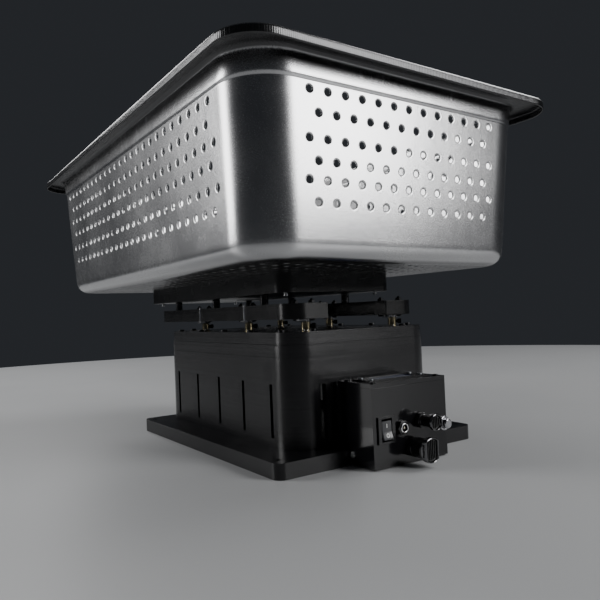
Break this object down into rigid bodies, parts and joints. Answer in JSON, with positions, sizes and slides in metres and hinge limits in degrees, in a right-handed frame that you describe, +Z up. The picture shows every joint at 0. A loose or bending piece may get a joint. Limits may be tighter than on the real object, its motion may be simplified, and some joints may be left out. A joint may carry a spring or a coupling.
{
  "type": "orbital shaker with perforated pan",
  "caption": "Table-top orbital shaker: a finned black base and front control box move a stage on turning cranks in a small circle under a lift-off, full-size perforated steel pan.",
  "frame": {"origin": "on the table, under the middle of the pan's rim", "axes": "+Z up; +Y along the pan's long side, away from the control box; +X along its short side"},
  "size_m": [0.325, 0.53, 0.3053],
  "materials": {
    "printed_black": "3-D printed, fine layer lines",
    "flange_black": "3-D printed, fine layer lines",
    "lid_black": "3-D printed, fine layer lines",
    "frame_black": "3-D printed, fine layer lines",
    "plate_black": "3-D printed, fine layer lines",
    "box_black": "fine matt moulding",
    "black_screw": "black oxide",
    "steel_screw": "satin",
    "bearing_steel": "ground",
    "crank_steel": "turned",
    "collar_brass": "turned, dulled",
    "motor_grey": "satin",
    "gearbox_steel": "satin",
    "dowel_steel": "bright",
    "post_black": "satin",
    "pan_steel": "satin, lightly brushed",
    "bezel_black": "satin",
    "window_glass": "clear, blue glint",
    "display_board": "solder mask",
    "board_green": "solder mask",
    "rocker_grey": "satin",
    "jack_silver": "bright",
    "jack_brass": "bright",
    "nut_black": "gloss",
    "pot_grey": "satin",
    "knob_black": "gloss, ribbed, bright rim",
    "shaft_steel": "satin",
    "button_steel": "bright"
  },
  "bodies": {
    "base": {"base_plate": "flange_black", "base_housing": "printed_black", "base_lid": "lid_black", "lid_screws": "black_screw", "housing_screws": "black_screw", "lid_bearings": "bearing_steel", "motor_can": "motor_grey", "motor_gearbox": "gearbox_steel", "motor_screws": "black_screw", "box_shell": "box_black", "box_lid": "box_black", "box_lid_screws": "black_screw", "box_side_screws": "steel_screw", "display_bezel": "bezel_black", "bezel_screws": "steel_screw", "display_window": "window_glass", "display_module": "display_board", "control_board": "board_green", "switch_bezel": "bezel_black", "jack_body": "jack_silver", "jack_nut": "nut_black", "jack_pin": "jack_brass", "potentiometers": "pot_grey", "pot_nuts": "black_screw", "button_body": "button_steel"},
    "drive_crank": {"crank_2": "crank_steel", "collar_2": "collar_brass", "set_screw_2": "black_screw"},
    "idler_1": {"crank_1": "crank_steel", "collar_1": "collar_brass", "set_screw_1": "black_screw"},
    "idler_3": {"crank_3": "crank_steel", "collar_3": "collar_brass", "set_screw_3": "black_screw"},
    "idler_4": {"crank_4": "crank_steel", "collar_4": "collar_brass", "set_screw_4": "black_screw"},
    "idler_5": {"crank_5": "crank_steel", "collar_5": "collar_brass", "set_screw_5": "black_screw"},
    "idler_6": {"crank_6": "crank_steel", "collar_6": "collar_brass", "set_screw_6": "black_screw"},
    "stage": {"carrier_frame": "frame_black", "frame_bearings": "bearing_steel", "bearing_screws": "black_screw", "bearing_nuts": "black_screw", "frame_dowels": "dowel_steel", "stage_posts": "post_black", "post_screws": "steel_screw", "top_plate": "plate_black", "pan_pegs": "steel_screw"},
    "pan": {"perforated_pan": "pan_steel"},
    "rocker": {"power_rocker": "rocker_grey"},
    "speed_dial": {"speed_knob": "knob_black", "speed_shaft": "shaft_steel"},
    "timer_dial": {"timer_knob": "knob_black", "timer_shaft": "shaft_steel"},
    "button": {"button_cap": "button_steel"}
  },
  "joints": [
    {"name": "drive_spin", "type": "hinge", "parent": "base", "child": "drive_crank", "pos_m": [-0.024, -0.025, 0.1], "axis": [0, 0, 1], "continuous": true},
    {"name": "idler_1_spin", "type": "hinge", "parent": "base", "child": "idler_1", "pos_m": [-0.024, -0.127, 0.1], "axis": [0, 0, 1], "continuous": true},
    {"name": "idler_3_spin", "type": "hinge", "parent": "base", "child": "idler_3", "pos_m": [-0.024, 0.077, 0.1], "axis": [0, 0, 1], "continuous": true},
    {"name": "idler_4_spin", "type": "hinge", "parent": "base", "child": "idler_4", "pos_m": [0.08, -0.127, 0.1], "axis": [0, 0, 1], "continuous": true},
    {"name": "idler_5_spin", "type": "hinge", "parent": "base", "child": "idler_5", "pos_m": [0.08, -0.025, 0.1], "axis": [0, 0, 1], "continuous": true},
    {"name": "idler_6_spin", "type": "hinge", "parent": "base", "child": "idler_6", "pos_m": [0.08, 0.077, 0.1], "axis": [0, 0, 1], "continuous": true},
    {"name": "stage_orbit", "type": "hinge", "parent": "drive_crank", "child": "stage", "pos_m": [-0.024, -0.022, 0.125], "axis": [0, 0, 1], "continuous": true},
    {"name": "pan_lift", "type": "slide", "parent": "stage", "child": "pan", "axis": [0, 0, 1], "range_m": [0, 0.16]},
    {"name": "rocker_tilt", "type": "hinge", "parent": "base", "child": "rocker", "pos_m": [-0.0054, -0.2045, 0.0312], "axis": [1, 0, 0], "range_deg": [0, 18]},
    {"name": "speed_turn", "type": "hinge", "parent": "base", "child": "speed_dial", "pos_m": [0.0235, -0.215, 0.0138], "axis": [0, -1, 0], "range_deg": [-140, 140]},
    {"name": "timer_turn", "type": "hinge", "parent": "base", "child": "timer_dial", "pos_m": [0.0327, -0.213, 0.0344], "axis": [0, -1, 0], "range_deg": [-140, 140]},
    {"name": "button_press", "type": "slide", "parent": "base", "child": "button", "axis": [0, 1, 0], "range_m": [0, 0.0025], "stiffness_N_per_m": 400}
  ],
  "couplings": [
    {"joint": "idler_1_spin", "follows": "drive_spin", "ratio": 1},
    {"joint": "idler_3_spin", "follows": "drive_spin", "ratio": 1},
    {"joint": "idler_4_spin", "follows": "drive_spin", "ratio": 1},
    {"joint": "idler_5_spin", "follows": "drive_spin", "ratio": 1},
    {"joint": "idler_6_spin", "follows": "drive_spin", "ratio": 1},
    {"joint": "stage_orbit", "follows": "drive_spin", "ratio": -1}
  ]
}
